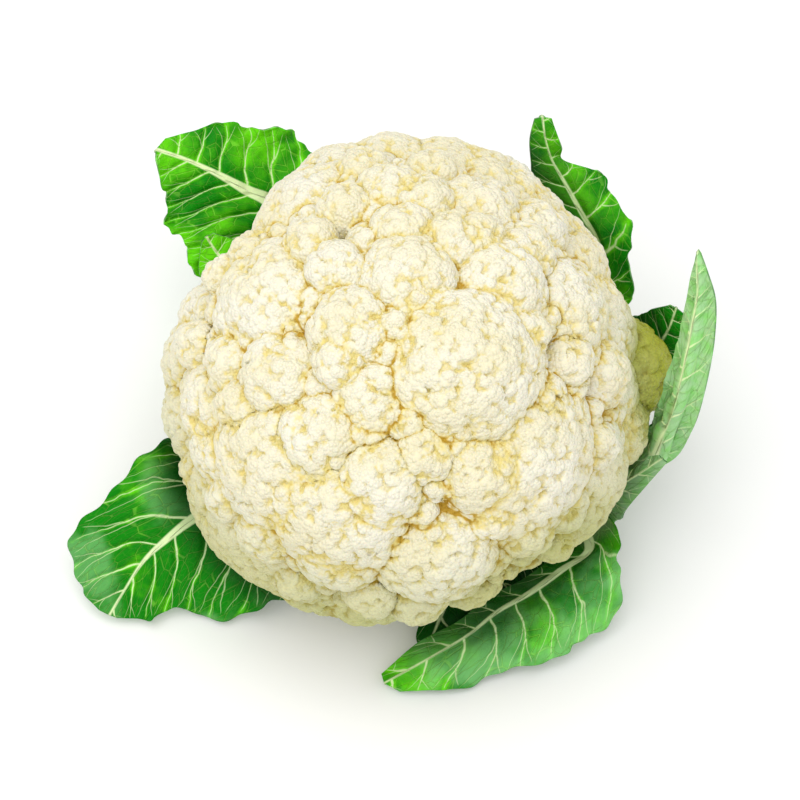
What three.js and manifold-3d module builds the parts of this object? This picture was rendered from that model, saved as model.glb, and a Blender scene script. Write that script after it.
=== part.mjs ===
// A whole cauliflower: a domed white curd on a stout cut stalk, with its green leaves grown round it.
// Millimetres, +Z up. The origin is the middle of the stalk's flat cut face, on which it stands.
import * as THREE from "three";
import { mergeVertices } from "three/addons/utils/BufferGeometryUtils.js";
import Module from "manifold-3d";

const wasm = await Module();
wasm.setup();

// The head: an egg-shaped dome, the envelope that the florets fill.
const HEAD_MIDDLE = new THREE.Vector3(0, 0, 84);
const HEAD_HALF = new THREE.Vector3(90, 96, 92); // half width, half depth and dome height
const UNDERSIDE_DEPTH = 30; // how far the curd's smooth underside hangs below the head's middle
const CORE_SHARE = 0.8; // the smooth core inside the florets, against the envelope
const CURD_DETAIL = 18; // subdivisions of the curd's surface

// The stalk, a cut stem that opens like a trumpet under the curd.
const STALK_RADIUS = 27;
const STALK_TOP = 70;
const STALK_SIDES = 36;
const STALK_BRANCHES = 9;
const GAP = 0.4; // left between pieces that touch

// Places on the front are given as they are seen from LOOK_ELEVATION above it: millimetres to the right of
// and up from the head's middle, at the scale of the plane through it.
const LOOK_ELEVATION = THREE.MathUtils.degToRad(55);
const LOOK_DISTANCE = 1200;
const TO_RIGHT = new THREE.Vector3(1, 0, 0);
const TO_TOP = new THREE.Vector3(0, Math.sin(LOOK_ELEVATION), Math.cos(LOOK_ELEVATION));
const TO_EYE = new THREE.Vector3(0, -Math.cos(LOOK_ELEVATION), Math.sin(LOOK_ELEVATION));

// Florets that show from there: right, up, width, and how far each stands out of (or sits back in) the dome.
const FLORETS = [
  [22, 5, 56, 5],
  [-45, -40, 60, 0],
  [63, -31, 56, 1],
  [-33, 58, 46, 0],
  [-42, 27, 48, 0],
  [66, 19, 44, 1],
  [69, 52, 42, 0],
  [34, 69, 42, 1],
  [13, -59, 42, 1],
  [-24, 77, 36, 0],
  [21, 87, 38, 0],
  [-4, 84, 30, 0],
  [54, 72, 30, -1],
  [36, 35, 33, 1],
  [3, 37, 33, 1],
  [-18, 19, 29, 1],
  [-43, 2, 30, 0],
  [-69, 31, 34, 0],
  [-77, 9, 32, 0],
  [-79, -14, 34, 0],
  [-66, -8, 30, -1],
  [-64, -59, 34, -2],
  [-60, -22, 34, 2],
  [-29, -20, 30, 1],
  [-27, -42, 28, 1],
  [-7, -36, 32, 1],
  [-30, -68, 38, -1],
  [-14, -86, 38, -2],
  [0, -78, 30, -6],
  [29, -33, 27, 1],
  [39, -62, 22, -7],
  [54, -66, 26, -7],
  [82, -6, 36, 0],
  [86, 14, 34, -3],
  [-11, -6, 30, -4],
  [9, -27, 20, -2],
  [52, -6, 18, -4],
  [34, -51, 14, -1],
  [48, 18, 15, 0],
  [46, 48, 21, 0],
  [30, 54, 17, 0],
  [20, 52, 21, 0],
  [1, 56, 21, 0],
  [9, 67, 20, 0],
  [-4, 70, 22, 0],
  [-24, 42, 20, 0],
  [-23, 7, 17, 1],
  [0, 20, 16, -3],
];
const ROUNDNESS = 1.06; // a floret's sphere against its width

// Florets round the rest of the head are set on a golden-angle spiral, each where the others leave room.
const SPIRAL_POINTS = 420;
const SPIRAL_LOWEST = -0.5; // how far below the head's middle florets grow, as a share of its half height
const SPIRAL_WIDTHS = [[32, 46], [24, 32], [16, 22]]; // large florets first, then small ones between them
const SPIRAL_ROOM = 0.74; // least distance between two florets, as a share of the sum of their radii
const GOLDEN_ANGLE = Math.PI * (3 - Math.sqrt(5));

// The lumps that each floret is made of.
const LUMP_WIDTH = 15;
const LUMP_DEPTH = 2.6;
const LUMP_SHARPNESS = 0.72; // a lump's rounded top against its spacing

// Leaves. Each row goes across a leaf as it is seen from there, from its foot to its tip: its left edge, its
// midrib and its right edge, every one as right, up and the height over the table. Left and right are those
// of someone who walks up the leaf on its upper side.
const BLADE_THICKNESS = 0.9;
const RIB_HALF_WIDTH = [8.5, 1.3]; // the midrib at the root and at the tip
const RIB_DEPTH = [11, 1.2];
const FIRST_REACH = 9; // how far the leafstalk runs straight out of the stalk
const CELLS_PER_ROW = 2;
const BLADE_COLUMNS = [0.33, 0.68, 1];
const HEAD_CLEARANCE = 3;
const LEAVES = [
  {
    name: "leaf_back_left",
    bearing: 145,
    height: 15,
    stout: 1,
    bow: -0.04,
    wave: [2.5, 2.5],
    rows: [
      [[-35.5, 3.9, 17], [-28, 8, 19], [-20.5, 10.5, 18]],
      [[-54.4, 23.8, 34], [-38.3, 36.6, 38], [-24.2, 46.7, 40]],
      [[-73, 39, 54], [-47, 67, 68], [-24, 80, 72]],
      [[-81, 50, 64], [-58, 73, 76], [-36, 91, 82]],
      [[-86, 60, 72], [-69, 79, 84], [-49, 96, 90]],
      [[-89, 72, 82], [-80, 84, 90], [-68, 97, 94]],
      [[-91, 84, 94], [-91.5, 88, 96], [-88, 92, 96]],
    ],
  },
  {
    name: "leaf_back_left_small",
    bearing: 128,
    height: 26,
    stout: 0.6,
    bow: -0.08,
    wave: [2, 1],
    rows: [
      [[-46.2, 1.3, 25], [-42.4, 5.7, 26], [-37.5, 9, 25]],
      [[-62.5, 20.6, 42], [-54.8, 26.5, 43], [-47.1, 32.4, 44]],
      [[-70, 34, 58], [-59, 40, 60], [-50, 48, 62]],
      [[-75, 41, 65], [-66, 46, 66], [-57, 52, 68]],
      [[-75, 48, 69], [-70, 51, 70], [-64, 54.5, 72]],
      [[-74, 53, 73], [-72.5, 55, 74], [-70, 56, 75]],
    ],
  },
  {
    name: "leaf_front_left",
    bearing: 76,
    height: 22,
    stout: 1,
    bow: 0.05,
    wave: [3, 3],
    rows: [
      [[-46.4, -47.9, 22], [-50.3, -39.5, 27], [-52.1, -32, 29]],
      [[-38, -80, 9], [-64, -44, 34], [-80, -18, 40]],
      [[-52, -84, 7], [-77, -50.5, 35], [-93, -27, 50]],
      [[-72, -88, 5], [-88, -59, 30], [-110, -40, 40]],
      [[-86, -85, 4.5], [-96, -66.5, 23], [-121, -56, 26]],
      [[-98, -88, 4.5], [-103, -77, 13], [-123, -73, 13]],
      [[-106, -88, 5], [-109, -87, 6], [-113, -85, 7]],
    ],
  },
  {
    name: "leaf_front_under",
    bearing: -18,
    height: 12,
    stout: 0.6,
    bow: 0.03,
    wave: [2, 1],
    rows: [
      [[30, -74, 11], [16, -76, 12], [6, -75, 11]],
      [[46, -76, 9], [17, -82, 11], [8, -80, 9]],
      [[38, -85, 8], [15, -88, 9], [8, -87, 8]],
      [[21, -93, 6], [12, -95, 7], [6, -95, 6]],
      [[11, -99.5, 5], [9, -100, 5], [7, -99, 5]],
    ],
  },
  {
    name: "leaf_front",
    bearing: -65,
    height: 28,
    stout: 1,
    bow: 0.05,
    wave: [3.5, 2.5],
    rows: [
      [[72, -44, 27], [62, -48, 29], [54, -54, 27]],
      [[82, -57, 30], [71, -62, 30], [62, -61, 27]],
      [[83, -72, 23], [60, -70.5, 27], [55, -67, 25]],
      [[76, -93, 11], [48, -79, 23], [45, -74, 21]],
      [[62, -100, 8], [36, -86, 19], [33, -80, 18]],
      [[42, -108.5, 6], [26, -94, 15], [22, -89, 14]],
      [[18, -114.5, 5], [11, -103, 10], [7, -97, 9]],
      [[0, -115.5, 4.5], [-6, -112.5, 5], [-7, -109, 5]],
    ],
  },
  {
    name: "leaf_right_low",
    bearing: -84,
    height: 13,
    stout: 0.6,
    bow: -0.05,
    wave: [3, 1.5],
    rows: [
      [[53.5, -37.8, 15], [55.6, -41.3, 16], [55.6, -47.2, 14]],
      [[70, -28, 33], [72, -39, 28], [79, -54, 22]],
      [[79, -27, 49], [80, -39, 44], [85, -47, 38]],
      [[87, -28, 60], [88, -35, 57], [92, -39, 53]],
      [[97, -27, 67], [98, -28.5, 67], [100, -30, 66]],
    ],
  },
  {
    name: "leaf_right",
    bearing: -107,
    height: 26,
    stout: 1,
    bow: 0.06,
    wave: [2, 1.2],
    rows: [
      [[58.2, -30.9, 19], [58.1, -24, 20], [56.9, -18.3, 19]],
      [[82.7, -35.5, 24], [80.6, -26.7, 27], [79.3, -20.8, 26]],
      [[101, -29, 41], [94, -26, 43], [88.5, -24, 39]],
      [[109.5, -18, 70], [101, -14, 70], [91, -18, 60]],
      [[114.5, -3, 97], [107, -1, 93], [97, -6, 82]],
      [[118, 16, 120], [111, 15, 113], [103, 11, 102]],
      [[118.5, 31, 135], [113, 30, 130], [107, 27, 121]],
      [[115.5, 41.5, 146], [113, 41, 144], [109, 38, 137]],
      [[113, 48.5, 152], [112, 50, 153], [111, 48, 151]],
    ],
  },
  {
    name: "leaf_right_back",
    bearing: -121,
    height: 13,
    stout: 0.6,
    bow: -0.05,
    wave: [2, 1],
    rows: [
      [[46.1, -7.9, 18], [49.1, -12.5, 18], [52, -17.8, 17]],
      [[65.4, 6.2, 34], [70.3, -0.3, 32], [74.3, -7.7, 30]],
      [[82, 20, 56], [89, 10, 54], [98, -2, 50]],
      [[90, 26, 74], [97, 15, 70], [105, 6, 66]],
      [[96, 28, 86], [101, 21, 82], [108, 14, 78]],
      [[101, 29, 90], [103.5, 28, 90], [107, 25.5, 88]],
    ],
  },
  {
    name: "leaf_back_right",
    bearing: -149,
    height: 29,
    stout: 1,
    bow: -0.05,
    wave: [4, 2.5],
    rows: [
      [[35.6, 10.2, 23], [41.3, 6.1, 24], [47.1, 1, 23]],
      [[50.7, 30.4, 39], [59.4, 26.4, 40], [68.1, 19.7, 39]],
      [[60, 44, 64], [74, 38, 62], [85.5, 31, 62]],
      [[58, 56, 82], [74, 52, 79], [86.5, 46, 77]],
      [[54, 66, 98], [68, 64, 94], [85, 61, 89]],
      [[50, 74, 110], [62, 75, 106], [76, 76, 100]],
      [[49.5, 82, 120], [57, 84, 118], [66, 84, 113]],
      [[49, 91, 130], [54.5, 92, 128], [60.5, 88, 124]],
      [[50.5, 99, 137], [53.5, 99.5, 137], [57, 99, 136]],
    ],
  },
  {
    name: "leaf_back",
    bearing: 186,
    height: 14,
    stout: 0.8,
    bow: -0.04,
    wave: [3, 3],
    rows: [
      [[-7, 6, 15], [2, 6, 16], [11, 6, 15]],
      [[-26, 22, 14], [3, 24, 18], [30, 24, 14]],
      [[-36, 38, 17], [4, 40, 22], [40, 40, 17]],
      [[-34, 50, 22], [5, 54, 26], [40, 54, 20]],
      [[-20, 62, 24], [6, 65, 28], [30, 65, 22]],
      [[2, 71.5, 25], [7, 72, 27], [14, 71, 25]],
    ],
  },
];

// A number from 0 to 1 that depends only on n.
function draw(n) {
  const x = Math.sin(n * 12.9898) * 43758.5453;
  return x - Math.floor(x);
}

// A closed geometry as a solid that can be joined and cut.
function solidOf(geometry) {
  const bare = geometry.clone();
  bare.deleteAttribute("normal");
  bare.deleteAttribute("uv");
  const merged = mergeVertices(bare, 1e-4);
  const mesh = new wasm.Mesh({
    numProp: 3,
    vertProperties: new Float32Array(merged.attributes.position.array),
    triVerts: new Uint32Array(merged.index.array),
  });
  return new wasm.Manifold(mesh);
}

// A solid back as a geometry.
function geometryOf(solid) {
  const { vertProperties, triVerts } = solid.getMesh();
  const geometry = new THREE.BufferGeometry();
  geometry.setAttribute("position", new THREE.BufferAttribute(vertProperties, 3));
  geometry.setIndex(new THREE.BufferAttribute(triVerts, 1));
  return geometry;
}

// The eye, and the direction of the line of sight through right, up.
const EYE = HEAD_MIDDLE.clone().addScaledVector(TO_EYE, LOOK_DISTANCE);
function sightLine(right, up) {
  return HEAD_MIDDLE.clone().addScaledVector(TO_RIGHT, right).addScaledVector(TO_TOP, up).sub(EYE);
}

// The point seen at right, up that lies at a height over the table.
function seenAtHeight([right, up, height]) {
  const line = sightLine(right, up);
  return EYE.clone().addScaledVector(line, (height - EYE.z) / line.z);
}

// The point seen at right, up on an ellipsoid round the head's middle, from that middle; its rim if the line
// of sight misses it.
function seenOnEllipsoid(right, up, half) {
  const from = EYE.clone().sub(HEAD_MIDDLE).divide(half);
  const line = sightLine(right, up).divide(half);
  const a = line.lengthSq();
  const b = from.dot(line);
  const inside = Math.max(0, b * b - a * (from.lengthSq() - 1));
  return from.addScaledVector(line, (-b - Math.sqrt(inside)) / a).normalize().multiply(half);
}

// A floret: a sphere that touches the head's envelope from inside, placed by a rule that finds its middle on
// the ellipsoid that such spheres' middles share, with the directions of its lumps.
function floretAt(width, proud, seed, placeOn) {
  const radius = (width / 2) * ROUNDNESS;
  const middle = placeOn(HEAD_HALF.clone().addScalar(proud - radius));
  const count = Math.max(8, Math.round((4 * Math.PI * radius ** 2) / LUMP_WIDTH ** 2));
  const turnToOut = new THREE.Quaternion().setFromUnitVectors(
    new THREE.Vector3(0, 0, 1),
    middle.clone().divide(HEAD_HALF).divide(HEAD_HALF).normalize(),
  );
  const lumps = Array.from({ length: count }, (_, i) => {
    const height = 1 - (2 * (i + 0.5)) / count;
    const level = Math.sqrt(1 - height * height);
    const turn = i * GOLDEN_ANGLE + seed;
    return new THREE.Vector3(level * Math.cos(turn), level * Math.sin(turn), height).applyQuaternion(turnToOut);
  });
  return { middle, radius, lumps, spacing: Math.sqrt((4 * Math.PI) / count) };
}

// All the florets: those that are seen, then those that the spiral adds.
function layOutFlorets() {
  const florets = FLORETS.map(([right, up, width, proud], i) =>
    floretAt(width, proud, i, (half) => seenOnEllipsoid(right, up, half)),
  );
  for (const widths of SPIRAL_WIDTHS) {
    for (let i = 0; i < SPIRAL_POINTS; i++) {
      const height = 1 - ((i + 0.5) / SPIRAL_POINTS) * (1 - SPIRAL_LOWEST);
      const level = Math.sqrt(1 - height * height);
      const turn = i * GOLDEN_ANGLE;
      const direction = new THREE.Vector3(level * Math.sin(turn), level * Math.cos(turn), height);
      const width = THREE.MathUtils.lerp(...widths, draw(i));
      const made = floretAt(width, 2 * draw(i + 0.5) - 1, florets.length, (half) => direction.multiply(half));
      const clear = florets.every(
        (other) => other.middle.distanceTo(made.middle) > SPIRAL_ROOM * (other.radius + made.radius),
      );
      if (clear) florets.push(made);
    }
  }
  return florets;
}

const florets = layOutFlorets();

// How far the core reaches from the head's middle in a direction.
function coreRadius(direction) {
  const half = new THREE.Vector3(HEAD_HALF.x, HEAD_HALF.y, HEAD_HALF.z).multiplyScalar(CORE_SHARE);
  if (direction.z < 0) half.z = UNDERSIDE_DEPTH;
  return 1 / direction.clone().divide(half).length();
}

// How far the curd reaches from the head's middle in a direction, and which floret and lump it meets there.
function curdAt(direction) {
  let best = { radius: coreRadius(direction), cell: "core" };
  florets.forEach((floret, i) => {
    const nearing = direction.dot(floret.middle);
    const inside = nearing * nearing - floret.middle.lengthSq() + floret.radius ** 2;
    if (inside <= 0 || nearing + Math.sqrt(inside) < best.radius - 2 * LUMP_DEPTH) return;
    const reach = nearing + Math.sqrt(inside);
    const outward = direction.clone().multiplyScalar(reach).sub(floret.middle).normalize();
    let lump = 0;
    let closest = -1;
    floret.lumps.forEach((d, k) => {
      const c = d.dot(outward);
      if (c > closest) [closest, lump] = [c, k];
    });
    const share = Math.acos(Math.min(1, closest)) / floret.spacing / LUMP_SHARPNESS;
    const bump = Math.sqrt(Math.max(0, 1 - share * share));
    const radius = reach - LUMP_DEPTH * (1 - bump);
    if (radius > best.radius) best = { radius, cell: i + "/" + lump };
  });
  return best;
}

// The curd as one surface round the head's middle. Its vertices are moved onto the creases between lumps,
// so that each lump keeps its own outline. grown widens it all round.
function curdGeometry(grown) {
  const ball = new THREE.IcosahedronGeometry(1, CURD_DETAIL);
  ball.deleteAttribute("normal");
  ball.deleteAttribute("uv");
  const surface = mergeVertices(ball, 1e-5);
  const { position } = surface.attributes;
  const index = surface.index.array;
  const directions = Array.from({ length: position.count }, (_, i) =>
    new THREE.Vector3().fromBufferAttribute(position, i).normalize(),
  );
  const cells = directions.map((d) => curdAt(d).cell);
  const nearest = directions.map(() => ({ share: 0.42, direction: null }));
  for (let i = 0; i < index.length; i += 3) {
    for (const [a, b] of [[index[i], index[i + 1]], [index[i + 1], index[i + 2]], [index[i + 2], index[i]]]) {
      if (a > b || cells[a] === cells[b]) continue;
      let [low, high] = [0, 1];
      for (let step = 0; step < 7; step++) {
        const half = (low + high) / 2;
        const d = directions[a].clone().lerp(directions[b], half).normalize();
        if (curdAt(d).cell === cells[a]) low = half;
        else high = half;
      }
      const crossing = directions[a].clone().lerp(directions[b], low).normalize();
      if (low < nearest[a].share) nearest[a] = { share: low, direction: crossing };
      if (1 - low < nearest[b].share) nearest[b] = { share: 1 - low, direction: crossing };
    }
  }
  const settled = directions.map((d, i) => nearest[i].direction ?? d);
  const radii = settled.map((d) => curdAt(d).radius);
  const widest = [...radii];
  for (let i = 0; grown && i < index.length; i += 3) {
    const corners = [index[i], index[i + 1], index[i + 2]];
    const most = Math.max(...corners.map((corner) => radii[corner]));
    for (const corner of corners) widest[corner] = Math.max(widest[corner], most);
  }
  settled.forEach((d, i) => {
    const p = d.clone().multiplyScalar(widest[i] + grown).add(HEAD_MIDDLE);
    position.setXYZ(i, p.x, p.y, p.z);
  });
  return surface;
}

// The stalk, fluted where it opens into the branches that carry the florets. grown widens it all round.
function stalkSolid(grown) {
  const profile = [
    [0, -grown],
    [STALK_RADIUS - 2, -grown],
    [STALK_RADIUS, 2],
    [STALK_RADIUS + 1, 10],
    [STALK_RADIUS, 22],
    [STALK_RADIUS + 1, 32],
    [STALK_RADIUS + 8, 44],
    [STALK_RADIUS + 20, 55],
    [STALK_RADIUS + 34, STALK_TOP],
    [0, STALK_TOP],
  ];
  const points = profile.map(([r, z]) => new THREE.Vector2(r ? r + grown : 0, z));
  const lathe = new THREE.LatheGeometry(points, STALK_SIDES);
  lathe.rotateX(Math.PI / 2);
  const { position } = lathe.attributes;
  for (let i = 0; i < position.count; i++) {
    const [x, y, z] = [position.getX(i), position.getY(i), position.getZ(i)];
    const opening = THREE.MathUtils.smoothstep(z, 30, STALK_TOP);
    const flute = 1 + 0.13 * opening * Math.cos(STALK_BRANCHES * Math.atan2(y, x));
    position.setXY(i, x * flute, y * flute);
  }
  return solidOf(lathe);
}

// Moves a point outwards until it is clear of the curd.
function clearOfCurd(p, clearance) {
  const from = p.clone().sub(HEAD_MIDDLE);
  const distance = from.length();
  const least = curdAt(from.clone().normalize()).radius + clearance;
  if (distance >= least) return p;
  return from.multiplyScalar(least / distance).add(HEAD_MIDDLE);
}

// A leaf's left edge, midrib and right edge as curves, with a row of their points per unit of their length.
function leafCurves({ bearing, height, stout, rows }) {
  const angle = THREE.MathUtils.degToRad(bearing);
  const outward = new THREE.Vector3(-Math.sin(angle), -Math.cos(angle), 0);
  const toRight = new THREE.Vector3(-outward.y, outward.x, 0).negate();
  const rootRow = (reach, lift) =>
    [-1, 0, 1].map((side) =>
      outward
        .clone()
        .multiplyScalar(STALK_RADIUS + reach)
        .addScaledVector(toRight, side * (RIB_HALF_WIDTH[0] * stout + 0.5))
        .setZ(height + lift),
    );
  const all = [rootRow(-5, 0), rootRow(FIRST_REACH, 1), ...rows.map((row) => row.map(seenAtHeight))];
  return [0, 1, 2].map((column) => new THREE.CatmullRomCurve3(all.map((row) => row[column]), false, "centripetal"));
}

// A leaf: a thin waved blade either side of a midrib that stands out below it.
function leafGeometry(leaf) {
  const [leftEdge, midrib, rightEdge] = leafCurves(leaf);
  const steps = (leaf.rows.length + 1) * CELLS_PER_ROW;
  const ribPlaces = [-1, -0.6, 0, 0.6, 1];
  const columns = ribPlaces.length + 2 * BLADE_COLUMNS.length;
  const ribDepths = [];
  const rows = [];
  for (let i = 0; i <= steps; i++) {
    const s = i / steps;
    const middle = midrib.getPoint(s);
    const toLeft = leftEdge.getPoint(s).sub(middle);
    const toRight = rightEdge.getPoint(s).sub(middle);
    const normal = toRight.clone().sub(toLeft).cross(midrib.getTangent(s)).normalize();
    const narrowest = Math.min(toLeft.length(), toRight.length());
    const ribHalf = Math.min(leaf.stout * THREE.MathUtils.lerp(...RIB_HALF_WIDTH, s ** 0.7), 0.8 * narrowest);
    const bladePoint = (toEdge, share, side) => {
      const width = toEdge.length();
      const reach = THREE.MathUtils.lerp(ribHalf, width, share);
      const [waves, height] = leaf.wave;
      const open = THREE.MathUtils.smoothstep(width, 9, 20);
      const wave = height * open * share ** 1.5 * Math.sin(2 * Math.PI * waves * s + side);
      const bow = leaf.bow * width * 4 * share * (1 - share) * open;
      return middle.clone().addScaledVector(toEdge, reach / width).addScaledVector(normal, wave + bow);
    };
    const across = [
      ...[...BLADE_COLUMNS].reverse().map((share) => bladePoint(toLeft, share, -1)),
      ...ribPlaces.map((place) => {
        const toEdge = place < 0 ? toLeft : toRight;
        return middle.clone().addScaledVector(toEdge, (Math.abs(place) * ribHalf) / toEdge.length());
      }),
      ...BLADE_COLUMNS.map((share) => bladePoint(toRight, share, 1)),
    ];
    rows.push(across.map((p) => clearOfCurd(p, HEAD_CLEARANCE)));
    const depth = leaf.stout * THREE.MathUtils.lerp(...RIB_DEPTH, s ** 0.7);
    ribDepths.push([
      ...BLADE_COLUMNS.map(() => 0),
      ...ribPlaces.map((place) => depth * Math.sqrt(1 - place * place)),
      ...BLADE_COLUMNS.map(() => 0),
    ]);
  }
  const upAt = (i, k) => {
    const forward = rows[Math.min(i + 1, steps)][k].clone().sub(rows[Math.max(i - 1, 0)][k]);
    const sideways = rows[i][Math.min(k + 1, columns - 1)].clone().sub(rows[i][Math.max(k - 1, 0)]);
    return sideways.cross(forward).normalize();
  };
  const upper = rows.flatMap((row) => row.flatMap((p) => p.toArray()));
  const under = rows.flatMap((row, i) =>
    row.flatMap((p, k) => p.clone().addScaledVector(upAt(i, k), -BLADE_THICKNESS - ribDepths[i][k]).toArray()),
  );
  const faces = [];
  const layer = columns * (steps + 1);
  const quad = (a, b, c, d) => faces.push(a, b, c, a, c, d);
  for (let i = 0; i < steps; i++) {
    for (let k = 0; k < columns - 1; k++) {
      const a = i * columns + k;
      const [b, c, d] = [a + 1, a + columns + 1, a + columns];
      quad(a, b, c, d);
      faces.push(layer + a, layer + c, layer + b, layer + a, layer + d, layer + c);
    }
    const [left, nextLeft] = [i * columns, (i + 1) * columns];
    quad(left, nextLeft, layer + nextLeft, layer + left);
    const [right, nextRight] = [nextLeft - 1, nextLeft + columns - 1];
    quad(nextRight, right, layer + right, layer + nextRight);
  }
  for (let k = 0; k < columns - 1; k++) {
    const tip = steps * columns + k;
    quad(k + 1, k, layer + k, layer + k + 1);
    quad(tip, tip + 1, layer + tip + 1, layer + tip);
  }
  const geometry = new THREE.BufferGeometry();
  geometry.setAttribute("position", new THREE.Float32BufferAttribute([...upper, ...under], 3));
  geometry.setIndex(faces);
  return geometry;
}

const creamy = new THREE.MeshStandardMaterial({ color: 0xf3ead0, roughness: 0.75, metalness: 0 });
const paleGreen = new THREE.MeshStandardMaterial({ color: 0xcfd9a0, roughness: 0.6, metalness: 0 });
const leafGreen = new THREE.MeshStandardMaterial({ color: 0x2f8a2a, roughness: 0.5, metalness: 0 });

const cauliflower = new THREE.Group();
function addPiece(name, geometry, material) {
  const mesh = new THREE.Mesh(geometry, material);
  mesh.name = name;
  cauliflower.add(mesh);
}

// The largest body of a solid, without the scraps that a cut leaves beside it.
function mainBody(solid) {
  return solid.decompose().reduce((best, body) => (body.volume() > best.volume() ? body : best));
}

const curd = curdGeometry(0);
const grownCurd = solidOf(curdGeometry(GAP));
const grownStalk = stalkSolid(GAP);
addPiece("curd", curd, creamy);
addPiece("stalk", geometryOf(mainBody(stalkSolid(0).subtract(grownCurd).simplify(0.3))), paleGreen);
for (const leaf of LEAVES) {
  addPiece(leaf.name, geometryOf(mainBody(solidOf(leafGeometry(leaf)).subtract(grownStalk))), leafGreen);
}

export default cauliflower;
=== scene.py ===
"""The looks of a whole cauliflower: its curd, its stalk and its leaves, grown over its plain solids."""

import math
from typing import NamedTuple

import bpy
import numpy as np
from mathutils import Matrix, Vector


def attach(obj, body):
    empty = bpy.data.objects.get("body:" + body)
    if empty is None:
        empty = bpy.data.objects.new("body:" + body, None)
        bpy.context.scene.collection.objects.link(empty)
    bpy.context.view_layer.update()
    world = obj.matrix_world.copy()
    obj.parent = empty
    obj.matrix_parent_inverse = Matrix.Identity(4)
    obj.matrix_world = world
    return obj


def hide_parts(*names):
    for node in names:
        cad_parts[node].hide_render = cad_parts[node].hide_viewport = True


bl_info = {
    "name": "Cauliflower",
    "version": (1, 0, 0),
    "blender": (4, 5, 0),
    "location": "View3D > Sidebar > Cauliflower",
    "description": "Grows a cauliflower's curd, stalk and leaves",
    "category": "Object",
}

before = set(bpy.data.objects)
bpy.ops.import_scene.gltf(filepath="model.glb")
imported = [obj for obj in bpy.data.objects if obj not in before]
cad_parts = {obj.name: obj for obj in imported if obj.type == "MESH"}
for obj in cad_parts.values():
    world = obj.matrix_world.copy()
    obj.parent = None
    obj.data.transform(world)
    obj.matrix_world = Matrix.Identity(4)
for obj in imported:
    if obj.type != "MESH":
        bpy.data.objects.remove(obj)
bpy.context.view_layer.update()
MM = 0.001

# The same sizes and shares as the solids, in millimetres
HEAD_MIDDLE = np.array([0.0, 0.0, 84.0])
HEAD_HALF = np.array([90.0, 96.0, 92.0])
UNDERSIDE_DEPTH = 30.0
CORE_SHARE = 0.8
STALK_RADIUS = 27.0
LOOK_ELEVATION = math.radians(55)
LOOK_DISTANCE = 1200.0
GOLDEN_ANGLE = math.pi * (3 - math.sqrt(5))
ROUNDNESS = 1.06
SPIRAL_POINTS = 420
SPIRAL_LOWEST = -0.5
SPIRAL_WIDTHS = [(32, 46), (24, 32), (16, 22)]
SPIRAL_ROOM = 0.74
LUMP_WIDTH = 15.0
LUMP_DEPTH = 2.6
LUMP_SHARPNESS = 0.72
BLADE_THICKNESS = 0.9
RIB_HALF_WIDTH = (8.5, 1.3)
RIB_DEPTH = (11.0, 1.2)
FIRST_REACH = 9.0
HEAD_CLEARANCE = 3.0

# How florets press on each other: the share of a gorge that fills, and how much broader each grows
CROWDING = 0.12
PRESSING = 1.05
SIDE_PRESSING = 0.3

# Small florets in the gaps between the others
FILLER_POINTS = 1400
FILLER_WIDTHS = (12, 18)
FILLER_GAP = 8.0
FILLER_DROP = 6.0
FILLER_ROOM = 0.7

# Lumps and knobs: where each ends, where its crease starts and is full, in spacings, and how flat its dome is
LUMP_EDGE = 0.61
LUMP_CREASE = (0.44, 0.6)
KNOB_EDGE = 0.62
KNOB_CREASE = (0.45, 0.6)
KNOBS_ON_LUMP = 18
PEBBLE = 2.8

# Gorges between florets: how wide, how far under one floret the next still counts, and the depths over which
# their painted shade deepens
GORGE_WIDTH = 1.7
GORGE_REACH = 6
SUNK_DEPTHS = (3, 13)

# Granules: the pattern's seed, the least share of their depth on a floret, and how much more chance adds
GRANULE_SEED = 3.0
LEAST_GRANULES = 0.55
MORE_GRANULES = 0.75

# Painted shade on the curd, greener and darker where less light fell: direction, how nearly along it the
# shade starts and is full, how strong it is
SHADES = [
    ((0.985, 0.17, -0.1), 0.885, 0.985, 1.0),
    ((0.55, -0.72, -0.35), 0.78, 0.97, 0.7),
    ((0.0, 0.0, -1.0), -0.4, 0.5, 0.72),
]

# The groups that the florets are kept in: one above a height, and four round it
GROUP_NAMES = [
    "florets_top",
    "florets_front_left",
    "florets_front_right",
    "florets_back_left",
    "florets_back_right",
]
TOP_GROUP_HEIGHT = 42

# Veins: between side veins and between twigs, and how far a side vein leans to the tip
VEIN_SPACING = 15.0
VEIN_SLOPE = 0.85
TWIG_SPACING = 7.0

# Blades: the width over which they open, and how far outside the head their painted shade from the curd fades
# out
OPENING = (9, 20)
CURD_SHADOW_REACH = (2, 22)
TEETH = 1.9
PUCKER = 2.2

# Points across a rib, and cells between two rows of a leaf
RIB_POINTS = 13
LEAF_CELLS = 15

# The floor and the light, in metres
FLOOR_HALF = 4
FLOOR_DROP = 0.0002
KEY_PLACE = (-0.16, -0.3, 1.05)
KEY_SIZE = 0.9
KEY_COLOUR = (1, 0.99, 0.97)

# The camera, in millimetres: its sensor, the width that it sees, and how far below the head's middle it aims
SENSOR_WIDTH = 36
SEEN_WIDTH = 300
AIM_DROP = 6.4

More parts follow.
